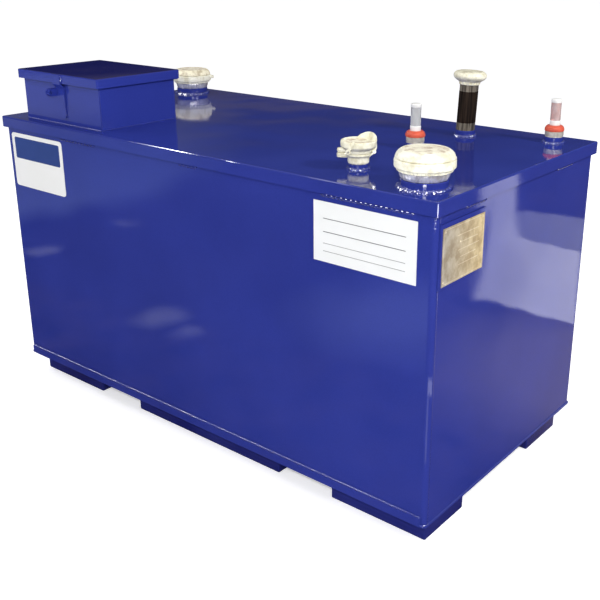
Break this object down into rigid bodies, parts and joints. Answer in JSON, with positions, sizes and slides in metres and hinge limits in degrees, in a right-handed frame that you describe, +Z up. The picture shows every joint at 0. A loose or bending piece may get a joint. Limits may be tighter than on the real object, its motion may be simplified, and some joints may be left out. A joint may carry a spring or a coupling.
{
  "type": "waste oil tank",
  "caption": "Rectangular blue steel waste oil tank on feet, with a locking fill box, two emergency vents, a vent pipe, a fill cap and two level gauges.",
  "frame": {"origin": "on the ground under the middle of the tank's body", "axes": "+X to the end with the brass plate, -Y out of the long front with the two signs, +Z up"},
  "size_m": [1.841, 0.942, 1.2138],
  "materials": {
    "blue_enamel": "gloss",
    "cast_aluminium": "cast",
    "bright_steel": "machined",
    "black_pipe": "satin",
    "red_plastic": "gloss",
    "clear_plastic": "clear",
    "white_plate": "gloss",
    "brass": "satin, tarnished"
  },
  "bodies": {
    "tank": {"bottom_pan": "blue_enamel", "front_wall": "blue_enamel", "rear_wall": "blue_enamel", "right_end_wall": "blue_enamel", "left_end_wall": "blue_enamel", "roof": "blue_enamel", "foot_front_left": "blue_enamel", "foot_front_middle": "blue_enamel", "foot_front_right": "blue_enamel", "foot_rear_left": "blue_enamel", "foot_rear_middle": "blue_enamel", "foot_rear_right": "blue_enamel", "fill_box_front": "blue_enamel", "fill_box_rear": "blue_enamel", "fill_box_left": "blue_enamel", "fill_box_right": "blue_enamel", "fill_neck": "blue_enamel", "fill_lid_hinge_pin": "bright_steel", "left_vent_socket": "blue_enamel", "left_vent_bowl": "cast_aluminium", "right_vent_socket": "blue_enamel", "right_vent_bowl": "cast_aluminium", "fill_cap_socket": "blue_enamel", "fill_cap_ring": "cast_aluminium", "fill_cap_pin": "bright_steel", "vent_pipe_socket": "blue_enamel", "vent_pipe": "black_pipe", "vent_pipe_cap": "cast_aluminium", "tank_gauge_socket": "blue_enamel", "tank_gauge_bushing": "bright_steel", "tank_gauge_collar": "red_plastic", "tank_gauge_vial": "clear_plastic", "leak_gauge_socket": "blue_enamel", "leak_gauge_bushing": "bright_steel", "leak_gauge_collar": "red_plastic", "leak_gauge_vial": "clear_plastic", "notice_sign": "white_plate", "white_sign": "white_plate", "brass_plate_backing": "blue_enamel", "brass_plate": "brass"},
    "fill_lid": {"fill_lid": "blue_enamel", "lock_strap": "blue_enamel"},
    "left_vent_cap": {"left_vent_cap": "cast_aluminium"},
    "right_vent_cap": {"right_vent_cap": "cast_aluminium"},
    "fill_cap_lid": {"fill_cap_lid": "cast_aluminium"}
  },
  "joints": [
    {"name": "fill_lid_hinge", "type": "hinge", "parent": "tank", "child": "fill_lid", "pos_m": [-0.6168, -0.079, 1.1429], "axis": [-1, 0, 0], "range_deg": [0, 105]},
    {"name": "fill_cap_hinge", "type": "hinge", "parent": "tank", "child": "fill_cap_lid", "pos_m": [0.59069, -0.28163, 1.0523], "axis": [-0.6157, 0.788, 0], "range_deg": [0, 110]},
    {"name": "left_vent_lift", "type": "slide", "parent": "tank", "child": "left_vent_cap", "axis": [0, 0, 1], "range_m": [0, 0.025]},
    {"name": "right_vent_lift", "type": "slide", "parent": "tank", "child": "right_vent_cap", "axis": [0, 0, 1], "range_m": [0, 0.025]}
  ]
}
